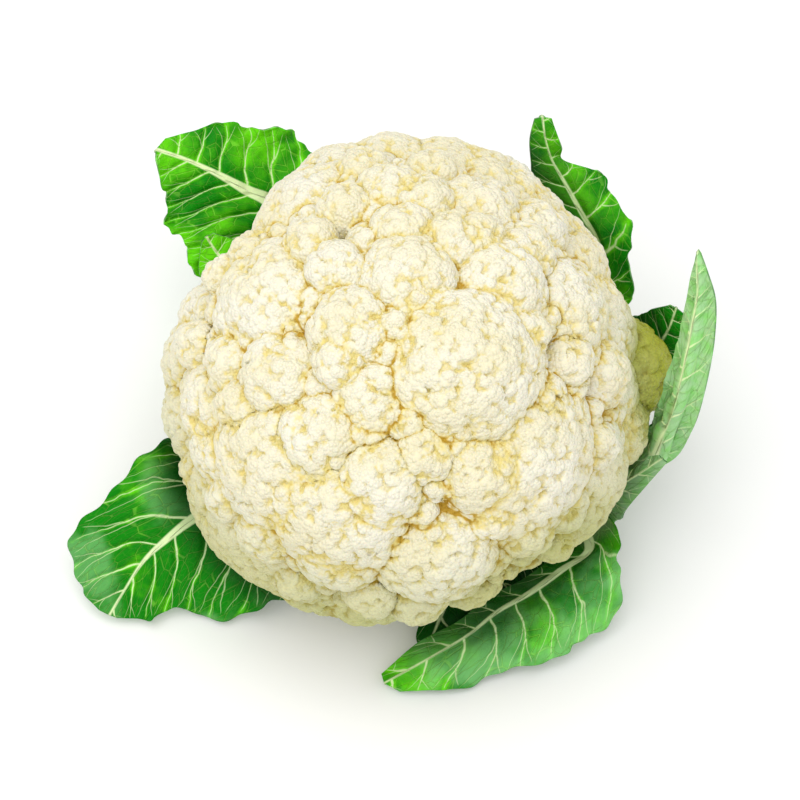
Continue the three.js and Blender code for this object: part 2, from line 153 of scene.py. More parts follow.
# Florets that show from the front: right, up, width, and how far each stands out of the dome
FLORETS = [
    (22, 5, 56, 5),
    (-41, -42, 72, 2),
    (63, -36, 58, 2),
    (-33, 58, 46, 0),
    (-42, 27, 48, 0),
    (66, 19, 44, 1),
    (69, 52, 42, 0),
    (34, 69, 42, 1),
    (13, -59, 42, 1),
    (-24, 77, 36, 0),
    (21, 87, 38, 0),
    (-4, 84, 30, 0),
    (54, 72, 30, -1),
    (36, 35, 33, 1),
    (3, 37, 33, 1),
    (-18, 19, 29, 1),
    (-43, 2, 30, 0),
    (-69, 31, 34, 0),
    (-77, 9, 32, 0),
    (-79, -14, 34, 0),
    (-66, -8, 30, -1),
    (-64, -59, 34, -4),
    (-60, -22, 34, -2),
    (-29, -20, 30, 1),
    (-27, -42, 28, 1),
    (-7, -36, 32, 1),
    (-30, -68, 38, -1),
    (-14, -86, 38, -2),
    (0, -78, 30, -6),
    (29, -33, 27, 1),
    (39, -62, 22, -7),
    (54, -66, 26, -7),
    (82, -6, 36, 0),
    (86, 14, 34, -3),
    (-11, -6, 30, -4),
    (9, -27, 20, -2),
    (52, -6, 18, -4),
    (34, -51, 14, -1),
    (48, 18, 15, 0),
    (46, 48, 21, 0),
    (30, 54, 17, 0),
    (20, 52, 21, 0),
    (1, 56, 21, 0),
    (9, 67, 20, 0),
    (-4, 70, 22, 0),
    (-24, 42, 20, 0),
    (-23, 7, 17, 1),
    (0, 20, 16, -3),
]

# Florets low on the right that stand out beyond the others: middle from the head's, and radius
SIDE_FLORETS = [
    (np.array([82.0, 12.0, -9.0]), 21.5),
    (np.array([76.0, -10.0, -14.0]), 18.5),
]
# Broad florets low in front: right and up of their middle as seen, radius, and the room that they take
BROAD_FLORETS = [
    (-57, -38, 36, 25),
    (-31, -57, 34, 22),
    (60, -37, 38, 25),
]
# Dips in the head at the back left and low in front: direction, angle of its spread, share of the reach
DIPS = [
    (np.array([-0.745, 0.546, 0.383]), 0.3, 0.17),
    (np.array([0.33, -0.775, -0.54]), 0.24, 0.11),
]

# Leaf tones: how bright, how waxy, whether turned over, how much painted shade near the curd, how broad the
# rib's pale band
TONES = {
    "bright": (0.8, 0.0, False, 0.8, 1.5),
    "curled": (0.75, 0.0, False, 0.85, 0.75),
    "young": (1.5, 0.0, False, 0.0, 0.8),
    "deep": (0.1, 0.0, False, 0.85, 0.7),
    # Painted shade: the leaf under the curd's front is painted nearly black green
    "in_curd_shadow": (0.0, 0.0, False, 0.95, 0.6),
    "waxed": (0.5, 0.4, False, 0.9, 0.9),
    "dewy": (0.75, 0.6, False, 0.8, 0.7),
    "pale": (0.4, 1.0, False, 0.2, 0.4),
    "turned": (0.35, 0.5, True, 0.7, 0.6),
}


class Leaf(NamedTuple):
    """A leaf: how it leaves the stalk, its form, and its rows across from foot to tip."""

    name: str
    tone: str
    bearing: float  # degrees round the stalk from the front, to the left
    height: float  # of its foot on the stalk
    stout: float  # its rib against a full one
    bow: float  # how far its blade arches, against its width
    wave: tuple  # the waves along its blade, and their height
    rows: list
    teeth: float = TEETH  # how deep its edge is cut
    pucker: float = PUCKER  # how far it puffs up between its veins


# Leaves, each row across one from its foot to its tip: left edge, midrib and right edge as seen
LEAVES = [
    Leaf("leaf_back_left", "bright", bearing=145, height=15, stout=1, bow=-0.04, wave=(2.5, 2.5), rows=[
        [(-35.5, 3.9, 17), (-28, 8, 19), (-20.5, 10.5, 18)],
        [(-54.4, 23.8, 34), (-38.3, 36.6, 38), (-24.2, 46.7, 40)],
        [(-73, 39, 54), (-47, 67, 68), (-24, 80, 72)],
        [(-81, 50, 64), (-58, 73, 76), (-36, 91, 82)],
        [(-86, 60, 72), (-69, 79, 84), (-49, 96, 90)],
        [(-89, 72, 82), (-80, 84, 90), (-68, 97, 94)],
        [(-91, 84, 94), (-91.5, 88, 96), (-88, 92, 96)],
    ]),
    Leaf("leaf_back_left_small", "young", bearing=128, height=26, stout=0.6, bow=-0.08, wave=(2, 1), rows=[
        [(-46.2, 1.3, 25), (-42.4, 5.7, 26), (-37.5, 9, 25)],
        [(-62.5, 20.6, 42), (-54.8, 26.5, 43), (-47.1, 32.4, 44)],
        [(-70, 34, 58), (-59, 40, 60), (-50, 48, 62)],
        [(-75, 41, 65), (-66, 46, 66), (-57, 52, 68)],
        [(-75, 48, 69), (-70, 51, 70), (-64, 54.5, 72)],
        [(-74, 53, 73), (-72.5, 55, 74), (-70, 56, 75)],
    ], teeth=1.0, pucker=1.2),
    Leaf("leaf_front_left", "waxed", bearing=76, height=22, stout=1, bow=0.05, wave=(3, 3), rows=[
        [(-46.4, -47.9, 22), (-50.3, -39.5, 27), (-52.1, -32, 29)],
        [(-38, -80, 9), (-64, -44, 34), (-80, -18, 40)],
        [(-52, -84, 7), (-77, -50.5, 35), (-93, -27, 50)],
        [(-72, -88, 5), (-88, -59, 30), (-110, -40, 40)],
        [(-86, -85, 4.5), (-96, -66.5, 23), (-121, -56, 26)],
        [(-98, -88, 4.5), (-103, -77, 13), (-123, -73, 13)],
        [(-106, -88, 5), (-109, -87, 6), (-113, -85, 7)],
    ]),
    Leaf("leaf_front_under", "in_curd_shadow", bearing=-18, height=12, stout=0.6, bow=0.03, wave=(2, 1), rows=[
        [(57, -43, 13), (16, -76, 12), (6, -75, 11)],
        [(60, -62, 10), (17, -82, 11), (8, -80, 9)],
        [(38, -85, 8), (15, -88, 9), (8, -87, 8)],
        [(21, -93, 6), (12, -95, 7), (6, -95, 6)],
        [(11, -99.5, 5), (9, -100, 5), (7, -99, 5)],
    ]),
    Leaf("leaf_front", "dewy", bearing=-65, height=28, stout=1, bow=0.05, wave=(3.5, 2.5), rows=[
        [(72, -44, 27), (62, -48, 29), (54, -54, 27)],
        [(82, -57, 30), (71, -62, 30), (62, -61, 27)],
        [(83, -72, 23), (60, -70.5, 27), (55, -67, 25)],
        [(76, -93, 11), (48, -79, 23), (45, -74, 21)],
        [(62, -100, 8), (36, -86, 19), (33, -80, 18)],
        [(42, -108.5, 6), (26, -94, 15), (22, -89, 14)],
        [(18, -114.5, 5), (11, -103, 10), (7, -97, 9)],
        [(0, -115.5, 4.5), (-6, -112.5, 5), (-7, -109, 5)],
    ]),
    Leaf("leaf_right_low", "turned", bearing=-84, height=13, stout=0.6, bow=-0.05, wave=(3, 1.5), rows=[
        [(53.5, -37.8, 15), (55.6, -41.3, 16), (55.6, -47.2, 14)],
        [(70, -28, 33), (72, -39, 28), (79, -54, 22)],
        [(79, -27, 49), (80, -39, 44), (85, -47, 38)],
        [(87, -28, 60), (88, -35, 57), (92, -39, 53)],
        [(97, -27, 67), (98, -28.5, 67), (100, -30, 66)],
    ]),
    Leaf("leaf_right", "pale", bearing=-107, height=26, stout=1, bow=0.06, wave=(2, 1.2), rows=[
        [(58.2, -30.9, 19), (58.1, -24, 20), (56.9, -18.3, 19)],
        [(82.7, -35.5, 24), (80.6, -26.7, 27), (79.3, -20.8, 26)],
        [(101, -29, 41), (94, -26, 43), (88.5, -24, 39)],
        [(109.5, -18, 70), (101, -14, 70), (91, -18, 60)],
        [(114.5, -3, 97), (107, -1, 93), (97, -6, 82)],
        [(118, 16, 120), (111, 15, 113), (103, 11, 102)],
        [(118.5, 31, 135), (113, 30, 130), (107, 27, 121)],
        [(115.5, 41.5, 146), (113, 41, 144), (109, 38, 137)],
        [(113, 48.5, 152), (112, 50, 153), (111, 48, 151)],
    ]),
    Leaf("leaf_right_back", "deep", bearing=-121, height=13, stout=0.6, bow=-0.05, wave=(2, 1), rows=[
        [(46.1, -7.9, 18), (49.1, -12.5, 18), (52, -17.8, 17)],
        [(65.4, 6.2, 34), (70.3, -0.3, 32), (74.3, -7.7, 30)],
        [(82, 20, 56), (89, 10, 54), (98, -2, 50)],
        [(90, 26, 74), (97, 15, 70), (105, 6, 66)],
        [(96, 28, 86), (101, 21, 82), (108, 14, 78)],
        [(101, 29, 90), (103.5, 28, 90), (107, 25.5, 88)],
    ]),
    Leaf("leaf_back_right", "curled", bearing=-149, height=29, stout=1, bow=-0.05, wave=(4, 2.5), rows=[
        [(35.6, 10.2, 23), (41.3, 6.1, 24), (47.1, 1, 23)],
        [(50.7, 30.4, 39), (59.4, 26.4, 40), (68.1, 19.7, 39)],
        [(60, 44, 64), (74, 38, 62), (85.5, 31, 62)],
        [(58, 56, 82), (74, 52, 79), (86.5, 46, 77)],
        [(54, 66, 98), (68, 64, 94), (85, 61, 89)],
        [(50, 74, 110), (62, 75, 106), (77.5, 77, 101)],
        [(49.5, 82, 120), (57, 84, 118), (61, 84, 114)],
        [(49, 91, 130), (54.5, 92, 128), (60.5, 88, 124)],
        [(50.5, 99, 137), (53.5, 99.5, 137), (57, 99, 136)],
    ]),
    Leaf("leaf_back", "deep", bearing=186, height=14, stout=0.8, bow=-0.04, wave=(3, 3), rows=[
        [(-7, 6, 15), (2, 6, 16), (11, 6, 15)],
        [(-26, 22, 14), (3, 24, 18), (30, 24, 14)],
        [(-36, 38, 17), (4, 40, 22), (40, 40, 17)],
        [(-34, 50, 22), (5, 54, 26), (40, 54, 20)],
        [(-20, 62, 24), (6, 65, 28), (30, 65, 22)],
        [(2, 71.5, 25), (7, 72, 27), (14, 71, 25)],
    ]),
]

TO_RIGHT = np.array([1.0, 0.0, 0.0])
TO_TOP = np.array([0.0, math.sin(LOOK_ELEVATION), math.cos(LOOK_ELEVATION)])
TO_EYE = np.array([0.0, -math.cos(LOOK_ELEVATION), math.sin(LOOK_ELEVATION)])
EYE = HEAD_MIDDLE + TO_EYE * LOOK_DISTANCE


def draw(n):
    """A number from 0 to 1 that depends only on n."""
    x = math.sin(n * 12.9898) * 43758.5453
    return x - math.floor(x)


def smooth(values, low, high):
    t = np.clip((np.asarray(values, float) - low) / (high - low), 0, 1)
    return t * t * (3 - 2 * t)


def spiral_directions(points):
    """Directions from the head's middle along a spiral, from its top to its lowest florets."""
    i = np.arange(points)
    heights = 1 - ((i + 0.5) / points) * (1 - SPIRAL_LOWEST)
    level = np.sqrt(1 - heights**2)
    return np.stack([level * np.sin(i * GOLDEN_ANGLE), level * np.cos(i * GOLDEN_ANGLE), heights], 1)


def has_room(made, florets, room):
    middles = np.array([other.middle for other in florets])
    reaches = np.array([other.radius for other in florets]) + made.radius
    return np.all(np.linalg.norm(middles - made.middle, axis=1) > room * reaches)


def lay_out_florets():
    florets = [
        Floret(width, proud, i, lambda half, r=right, u=up: seen_on_ellipsoid(r, u, half))
        for i, (right, up, width, proud) in enumerate(FLORETS)
    ]
    for widths in SPIRAL_WIDTHS:
        for i, direction in enumerate(spiral_directions(SPIRAL_POINTS)):
            width = widths[0] + (widths[1] - widths[0]) * draw(i)
            made = Floret(width, 2 * draw(i + 0.5) - 1, len(florets), lambda half, d=direction: d * half)
            if has_room(made, florets, SPIRAL_ROOM):
                florets.append(made)
    return florets


def small_florets(florets):
    """Small florets at the bottom of the gaps that the others leave."""
    directions = spiral_directions(FILLER_POINTS)
    places = unit(directions * HEAD_HALF)
    reach = np.max([sphere_reach(places, floret) for floret in florets], axis=0)
    fillers = []
    for i in np.nonzero(envelope_radius(places) - reach > FILLER_GAP)[0]:
        width = FILLER_WIDTHS[0] + (FILLER_WIDTHS[1] - FILLER_WIDTHS[0]) * draw(i)
        made = Floret(width, -FILLER_DROP, len(florets) + i, lambda half, d=directions[i]: d * half)
        if not fillers or has_room(made, fillers, FILLER_ROOM):
            fillers.append(made)
    return fillers


def sphere_reach(directions, floret):
    """How far out each direction leaves a floret's sphere, or 0 where it misses."""
    nearing = directions @ floret.middle
    inside = nearing**2 - floret.middle @ floret.middle + floret.radius**2
    return np.where(inside > 0, nearing + np.sqrt(np.maximum(inside, 0)), 0)


def core_radius(directions):
    half = np.tile(HEAD_HALF * CORE_SHARE, (len(directions), 1))
    half[directions[:, 2] < 0, 2] = UNDERSIDE_DEPTH
    return 1 / np.linalg.norm(directions / half, axis=1)


def rosette(u, v, spacing, count, turn):
    """How far each place is from the nearest of a spiral of knobs, in knob spacings."""
    best = np.full(u.shape, 1e9)
    for n in range(count):
        reach = spacing * 0.58 * math.sqrt(n)
        angle = n * GOLDEN_ANGLE + turn
        best = np.minimum(best, np.hypot(u - reach * np.cos(angle), v - reach * np.sin(angle)))
    return best / spacing


def dome(share, edge, power):
    """A dome's height from its middle to its edge. A higher power makes it flatter, with steeper sides."""
    return np.sqrt(np.clip(1 - (share / edge) ** power, 0, 1))


def envelope_radius(directions):
    return 1 / np.linalg.norm(directions / HEAD_HALF, axis=1)


def unit(vectors):
    return vectors / np.maximum(np.linalg.norm(vectors, axis=-1, keepdims=True), 1e-9)


def sight_line(right, up):
    return HEAD_MIDDLE + TO_RIGHT * right + TO_TOP * up - EYE


def seen_at_height(right, up, height):
    line = sight_line(right, up)
    return EYE + line * ((height - EYE[2]) / line[2])


def seen_on_ellipsoid(right, up, half):
    start = (EYE - HEAD_MIDDLE) / half
    line = sight_line(right, up) / half
    a = line @ line
    b = start @ line
    inside = max(0.0, b * b - a * (start @ start - 1))
    hit = start + line * ((-b - math.sqrt(inside)) / a)
    return hit / np.linalg.norm(hit) * half


def turn_from_up(points, out):
    """Points turned by the shortest way from +Z to out."""
    turn = Vector((0, 0, 1)).rotation_difference(Vector(out))
    return points @ np.array(turn.to_matrix()).T


class Floret:
    """A sphere that touches the head's envelope from inside, with the directions of its lumps."""

    def __init__(self, width, proud, seed, place_on):
        self.radius = width / 2 * ROUNDNESS
        self.middle = place_on(HEAD_HALF + proud - self.radius)
        count = max(8, round(4 * math.pi * self.radius**2 / LUMP_WIDTH**2))
        heights = 1 - 2 * (np.arange(count) + 0.5) / count
        level = np.sqrt(1 - heights**2)
        turns = np.arange(count) * GOLDEN_ANGLE + seed
        out = unit(self.middle / HEAD_HALF**2)
        self.lumps = turn_from_up(np.stack([level * np.cos(turns), level * np.sin(turns), heights], 1), out)
        self.spacing = math.sqrt(4 * math.pi / count)

    def top(self):
        """Where the sphere touches the envelope."""
        return self.middle + unit(self.middle / HEAD_HALF**2) * self.radius

    def widen(self, times):
        """Makes the sphere broader and flatter where it touches the envelope."""
        grown = self.radius * times
        self.middle = self.middle - unit(self.middle / HEAD_HALF**2) * (grown - self.radius)
        self.radius = grown


def dipped(directions):
    """The share of the reach that the dips leave."""
    left = np.ones(len(directions))
    for direction, spread, share in DIPS:
        off = np.arccos(np.clip(directions @ direction, -1, 1))
        left -= share * np.exp(-((off / spread) ** 2))
    return left


def crowded(directions, reach):
    """The reach of florets that press on each other, which leaves the gorges between them shallower."""
    depth = envelope_radius(directions) - reach
    upper = smooth(directions[:, 2], -0.5, -0.15)
    return reach + CROWDING * upper * np.maximum(depth, 0)


def pressed_florets():
    """The florets made broader, most where the front ones turn from the eye, with what fills their gaps."""
    florets = lay_out_florets()
    for number, floret in enumerate(florets):
        facing = unit(floret.middle / HEAD_HALF**2) @ TO_EYE
        floret.widen(PRESSING + (SIDE_PRESSING * (1 - facing) if number < len(FLORETS) else 0))
    for middle, radius in SIDE_FLORETS:
        florets.append(Floret(2 * radius / ROUNDNESS, 0, radius, lambda half, m=middle: m))
    for right, up, radius, room in BROAD_FLORETS:
        top = seen_on_ellipsoid(right, up, HEAD_HALF + 1)
        middle = top - unit(top / HEAD_HALF**2) * radius
        florets = [other for other in florets if np.linalg.norm(other.top() - top) > room]
        florets.append(Floret(2 * radius / ROUNDNESS, 0, radius, lambda half, m=middle: m))
    return florets + small_florets(florets)


ALL_FLORETS = pressed_florets()


def curd_surface(directions, look=None):
    """How far the curd reaches from the head's middle.

    For each place also how near it is to a crease between lumps, to one between knobs and to a gorge between
    florets, and which floret it is on.
    """
    best = core_radius(directions)
    second = np.zeros(len(directions))
    lump_crease = np.ones(len(directions))
    knob_crease = np.ones(len(directions))
    whose = np.full(len(directions), -1)
    for i, floret in enumerate(ALL_FLORETS):
        reach = sphere_reach(directions, floret)
        pressed = crowded(directions, reach)
        hit = np.nonzero((reach > 0) & (pressed > best - GORGE_REACH))[0]
        if not len(hit):
            continue
        outward = unit(directions[hit] * reach[hit, None] - floret.middle)
        nearness = outward @ floret.lumps.T
        lump = nearness.argmax(1)
        share = np.arccos(np.minimum(1, nearness[np.arange(len(hit)), lump])) / floret.spacing
        knob_share = np.zeros(len(hit))
        if look is None:
            radius = pressed[hit] - LUMP_DEPTH * (1 - dome(share, LUMP_SHARPNESS, 2))
        else:
            knob_share = knobs_on(floret, outward, lump, look.knob_spacing, i)
            lump_drop = look.lump_depth * (1 - dome(share, LUMP_EDGE, PEBBLE))
            knob_drop = look.knob_depth * (1 - dome(knob_share, KNOB_EDGE, PEBBLE))
            radius = pressed[hit] - (lump_drop + knob_drop)
        before = best[hit]
        wins = radius > before
        second[hit] = np.maximum(second[hit], np.where(wins, before, radius))
        best[hit] = np.where(wins, radius, before)
        rows = hit[wins]
        lump_crease[rows] = smooth(share[wins], *LUMP_CREASE)
        knob_crease[rows] = smooth(knob_share[wins], *KNOB_CREASE)
        whose[rows] = i
    gorge = np.exp(-np.maximum(best - second, 0) / GORGE_WIDTH)
    return best * dipped(directions), lump_crease, knob_crease, gorge, whose


def knobs_on(floret, outward, lump, spacing, seed):
    """How far each place on a floret is from the nearest knob of its lump's rosette, in knob spacings."""
    top = floret.lumps[lump]
    helper = np.where(np.abs(top[:, 2:]) < 0.9, [[0.0, 0.0, 1.0]], [[1.0, 0.0, 0.0]])
    across = unit(np.cross(top, helper))
    along = np.cross(top, across)
    offset = outward * floret.radius
    u = np.einsum("ij,ij->i", offset, across)
    v = np.einsum("ij,ij->i", offset, along)
    return rosette(u, v, spacing, KNOBS_ON_LUMP, lump * 2.4 + seed)


def clear_of_curd(points, clearance):
    away = points - HEAD_MIDDLE
    distance = np.linalg.norm(away, axis=1)
    least = curd_surface(away / distance[:, None])[0] + clearance
    return np.where((distance < least)[:, None], HEAD_MIDDLE + away * (least / distance)[:, None], points)


def geodesic(parts):
    """Unit directions and triangles of an icosahedron whose edges are cut in parts."""
    t = (1 + math.sqrt(5)) / 2
    corners = unit(np.array([
        [-1, t, 0], [1, t, 0], [-1, -t, 0], [1, -t, 0], [0, -1, t], [0, 1, t],
        [0, -1, -t], [0, 1, -t], [t, 0, -1], [t, 0, 1], [-t, 0, -1], [-t, 0, 1],
    ], float))
    faces = [
        (0, 11, 5), (0, 5, 1), (0, 1, 7), (0, 7, 10), (0, 10, 11), (1, 5, 9), (5, 11, 4), (11, 10, 2),
        (10, 7, 6), (7, 1, 8), (3, 9, 4), (3, 4, 2), (3, 2, 6), (3, 6, 8), (3, 8, 9), (4, 9, 5),
        (2, 4, 11), (6, 2, 10), (8, 6, 7), (9, 8, 1),
    ]
    grid = [(i, j) for i in range(parts + 1) for j in range(parts + 1 - i)]
    place = {ij: k for k, ij in enumerate(grid)}
    cells = []
    for i, j in grid:
        if i + j < parts:
            cells.append((place[i, j], place[i + 1, j], place[i, j + 1]))
            if i + j < parts - 1:
                cells.append((place[i + 1, j], place[i + 1, j + 1], place[i, j + 1]))
    weights = np.array([(parts - i - j, i, j) for i, j in grid], float) / parts
    cells = np.array(cells)
    points = np.concatenate([weights @ corners[list(face)] for face in faces])
    triangles = np.concatenate([cells + n * len(grid) for n in range(len(faces))])
    _, first, back = np.unique(np.round(points, 6), axis=0, return_index=True, return_inverse=True)
    return unit(points[first]), back.reshape(-1)[triangles]


def linked(name, data):
    """A new object in the scene."""
    made = bpy.data.objects.new(name, data)
    bpy.context.scene.collection.objects.link(made)
    return made


def mesh_object(name, points, faces, attributes):
    """A smooth object from points in millimetres, with values kept on its points."""
    mesh = bpy.data.meshes.new(name)
    mesh.from_pydata((points * MM).tolist(), [], faces.tolist())
    for key, values in attributes:
        values = np.asarray(values, np.float32)
        if values.ndim == 1:
            mesh.attributes.new(key, "FLOAT", "POINT").data.foreach_set("value", values)
        else:
            mesh.attributes.new(key, "FLOAT_VECTOR", "POINT").data.foreach_set("vector", values.reshape(-1))
    mesh.polygons.foreach_set("use_smooth", np.ones(len(mesh.polygons), bool))
    mesh.update()
    return linked(name, mesh)


def add_node(tree, kind, inputs, **settings):
    """A new node with its settings, and its inputs as values or as other nodes' outputs."""
    node = tree.nodes.new(kind)
    for name, value in settings.items():
        setattr(node, name, value)
    for key, value in inputs.items():
        if isinstance(value, bpy.types.NodeSocket):
            tree.links.new(value, node.inputs[key])
        else:
            node.inputs[key].default_value = value
    return node


class Maths:
    """A shader value whose sums are written as sums."""

    def __init__(self, tree, socket):
        self.tree = tree
        self.socket = socket

    def _node(self, operation, *others):
        values = [one.socket if isinstance(one, Maths) else one for one in (self, *others)]
        node = add_node(self.tree, "ShaderNodeMath", dict(enumerate(values)), operation=operation)
        return Maths(self.tree, node.outputs[0])

    def __add__(self, other):
        return self._node("ADD", other)

    def __sub__(self, other):
        return self._node("SUBTRACT", other)

    def __mul__(self, other):
        return self._node("MULTIPLY", other)

    def most(self, other):
        return self._node("MAXIMUM", other)

    def size(self):
        return self._node("ABSOLUTE")

    def nearest(self):
        return self._node("ROUND")

    def between(self):
        """How far a value is from the nearest whole number."""
        return self._node("PINGPONG", 0.5)

    def ramp(self, low, high, first=0.0, last=1.0):
        inputs = {"Value": self.socket, "From Min": low, "From Max": high, "To Min": first, "To Max": last}
        node = add_node(self.tree, "ShaderNodeMapRange", inputs, interpolation_type="SMOOTHSTEP")
        return Maths(self.tree, node.outputs["Result"])


class Finish:
    """A material under construction."""

    def __init__(self, name, roughness):
        self.material = bpy.data.materials.new(name)
        self.material.use_nodes = True
        self.tree = self.material.node_tree
        self.shader = self.tree.nodes["Principled BSDF"]
        self.settle({"Roughness": roughness})
        self.coordinates = self.tree.nodes.new("ShaderNodeTexCoord").outputs["Object"]

    def value(self, name):
        node = add_node(self.tree, "ShaderNodeAttribute", {}, attribute_name=name)
        return Maths(self.tree, node.outputs["Fac"])

    def noise(self, size, detail):
        inputs = {"Vector": self.coordinates, "Scale": 1 / size, "Detail": detail}
        return Maths(self.tree, add_node(self.tree, "ShaderNodeTexNoise", inputs).outputs["Fac"])

    def cells(self, size, feature="F1", vector=None):
        inputs = {"Vector": vector or self.coordinates, "Scale": 1 / size}
        node = add_node(self.tree, "ShaderNodeTexVoronoi", inputs, feature=feature)
        return Maths(self.tree, node.outputs["Distance"])

    def blend(self, factor, first, second):
        """A mix of two colours, each a colour or another mix."""
        ends = [end if isinstance(end, bpy.types.NodeSocket) else (*end[:3], 1) for end in (first, second)]
        inputs = {"Factor": factor.socket, "A": ends[0], "B": ends[1]}
        return add_node(self.tree, "ShaderNodeMix", inputs, data_type="RGBA").outputs["Result"]

    def colour(self, socket):
        self.tree.links.new(socket, self.shader.inputs["Base Color"])

    def rough(self, value):
        self.tree.links.new(value.socket, self.shader.inputs["Roughness"])

    def fork(self, off, share, start, slope):
        """A branch that leaves each side vein at a share of its way out to the edge."""
        apart = (off - (share - start) * slope).size()
        drawn = ((apart * -1.0 + share.ramp(start, 0.95, 0.021, 0.007)) * 30.0).ramp(-0.4, 0.4)
        return drawn * share.ramp(start, start + 0.02) * share.ramp(0.92, 0.98, 1, 0)

    def plane(self, x, y):
        return add_node(self.tree, "ShaderNodeCombineXYZ", {"X": x.socket, "Y": y.socket}).outputs["Vector"]

    def bump(self, height, distance, strength):
        inputs = {"Height": height.socket, "Distance": distance, "Strength": strength}
        normal = add_node(self.tree, "ShaderNodeBump", inputs).outputs["Normal"]
        self.tree.links.new(normal, self.shader.inputs["Normal"])

    def settle(self, values):
        for name, value in values.items():
            self.shader.inputs[name].default_value = value


def curd_finish(look):
    """Cream florets, yellower and browner in creases, pits and gorges, partly their own colour and partly
    painted shade that deepens with a gorge's depth; yellow green with painted shade on the right side, under
    the front and towards the bottom.
    """
    finish = Finish("curd_flesh", 0.6)
    lump, knob, gorge, sunk, shade, grain = (
        finish.value(key) for key in ("lump_crease", "knob_crease", "gorge", "sunk", "shade", "grain")
    )
    speckle = finish.noise(0.0035, 3)
    patch = finish.noise(0.028, 3)
    flesh = finish.blend(patch.ramp(0.35, 0.65), look.cream, look.pale)
    stipple = finish.cells(0.0014)
    pits = (stipple.ramp(0.35, 0.8) * 0.6 + grain.ramp(0.6, 1.0) * 0.4) * speckle.ramp(0.3, 0.65, 0.3, 1.0)
    # Creases, pits and gorges: partly the curd's own yellower colour, partly painted shade that deepens with
    # a gorge's depth
    crease_tint_and_shade = lump * 0.34 + knob * 0.55 + gorge * 0.8 + pits * 0.5 + sunk * 0.12
    tinted = finish.blend(crease_tint_and_shade.ramp(0.3, 1.15), flesh, look.crease)
    line = gorge * (sunk * 0.8 + 0.58) + lump * (sunk * 0.4) + speckle.ramp(0.4, 0.7, -0.15, 0.15)
    line = line + pits * 0.12
    browned_and_shaded = finish.blend(line.ramp(0.48, 0.95), tinted, look.deep)
    # Painted shade: the curd turns yellow green on its right side, under its front and towards its bottom,
    # and olive in its creases there
    covered = knob * 0.3 + gorge * 0.5 + sunk * 0.25 + pits * 0.3 + speckle.ramp(0.3, 0.7, -0.1, 0.2)
    green = finish.blend(covered.ramp(0.1, 0.95), look.shaded, look.shaded_crease)
    finish.colour(finish.blend(shade * patch.ramp(0.3, 0.6, 0.85, 1.0), browned_and_shaded, green))
    finish.rough(speckle.ramp(0.3, 0.7, 0.52, 0.68))
    finish.bump(stipple.ramp(0.0, 0.9, 1.0, 0.0), 0.0006, 0.9)
    finish.settle({"Subsurface Weight": 0.15, "Subsurface Scale": 1.0})
    finish.settle({"Subsurface Radius": (0.004, 0.0028, 0.0014)})
    return finish.material


def granule_tree():
    """Geometry nodes that raise small rounded granules along a surface's own outward directions."""
    tree = bpy.data.node_groups.new("granules", "GeometryNodeTree")
    face = tree.interface
    face.new_socket("Geometry", in_out="INPUT", socket_type="NodeSocketGeometry")
    for name, kind in (("Size", "Float"), ("Depth", "Float"), ("Seed", "Float"), ("Material", "Material")):
        face.new_socket(name, in_out="INPUT", socket_type="NodeSocket" + kind)
    face.new_socket("Geometry", in_out="OUTPUT", socket_type="NodeSocketGeometry")

    def new(kind, inputs, **settings):
        return add_node(tree, kind, inputs, **settings).outputs

    def kept(key, kind):
        return new("GeometryNodeInputNamedAttribute", {"Name": key}, data_type=kind)["Attribute"]

    def maths(operation, first, second):
        return new("ShaderNodeMath", {0: first, 1: second}, operation=operation)[0]

    given = new("NodeGroupInput", {})
    place = new("GeometryNodeInputPosition", {})["Position"]
    inputs = {"Vector": place, "W": given["Seed"], "Scale": maths("DIVIDE", 1.0, given["Size"])}
    cells = new("ShaderNodeTexVoronoi", inputs, voronoi_dimensions="4D")
    apart = maths("MINIMUM", maths("MULTIPLY", cells["Distance"], 1.55), 1.0)
    rounded = maths("SUBTRACT", 1.0, maths("POWER", apart, 2.0))
    lift = maths("MULTIPLY", maths("MULTIPLY", rounded, given["Depth"]), kept("coarse", "FLOAT"))
    inputs = {0: kept("outward", "FLOAT_VECTOR"), "Scale": lift}
    offset = new("ShaderNodeVectorMath", inputs, operation="SCALE")["Vector"]
    shape = given["Geometry"]
    for kind, inputs in (
        ("GeometryNodeStoreNamedAttribute", {"Name": "grain", "Value": apart}),
        ("GeometryNodeSetPosition", {"Offset": offset}),
        ("GeometryNodeRealizeInstances", {}),
        ("GeometryNodeSetMaterial", {"Material": given["Material"]}),
    ):
        shape = new(kind, {"Geometry": shape, **inputs})["Geometry"]
    new("NodeGroupOutput", {"Geometry": shape})
    return tree


def grown(tree, source, name, values):
    """The plain mesh that a geometry-node tree makes of an object."""
    modifier = source.modifiers.new("grow", "NODES")
    modifier.node_group = tree
    for item in tree.interface.items_tree:
        if item.item_type == "SOCKET" and item.in_out == "INPUT" and item.name in values:
            modifier[item.identifier] = values[item.name]
    evaluated = source.evaluated_get(bpy.context.evaluated_depsgraph_get())
    mesh = bpy.data.meshes.new_from_object(evaluated)
    source.modifiers.remove(modifier)
    mesh.name = name
    return linked(name, mesh)


def colour(name, description, default):
    return bpy.props.FloatVectorProperty(name=name, description=description, subtype="COLOR", default=default)


def metres(name, description, default):
    return bpy.props.FloatProperty(name=name, description=description, unit="LENGTH", default=default)


def millimetres(name, description, default):
    return bpy.props.FloatProperty(name=name, description=description + ", in millimetres", default=default)


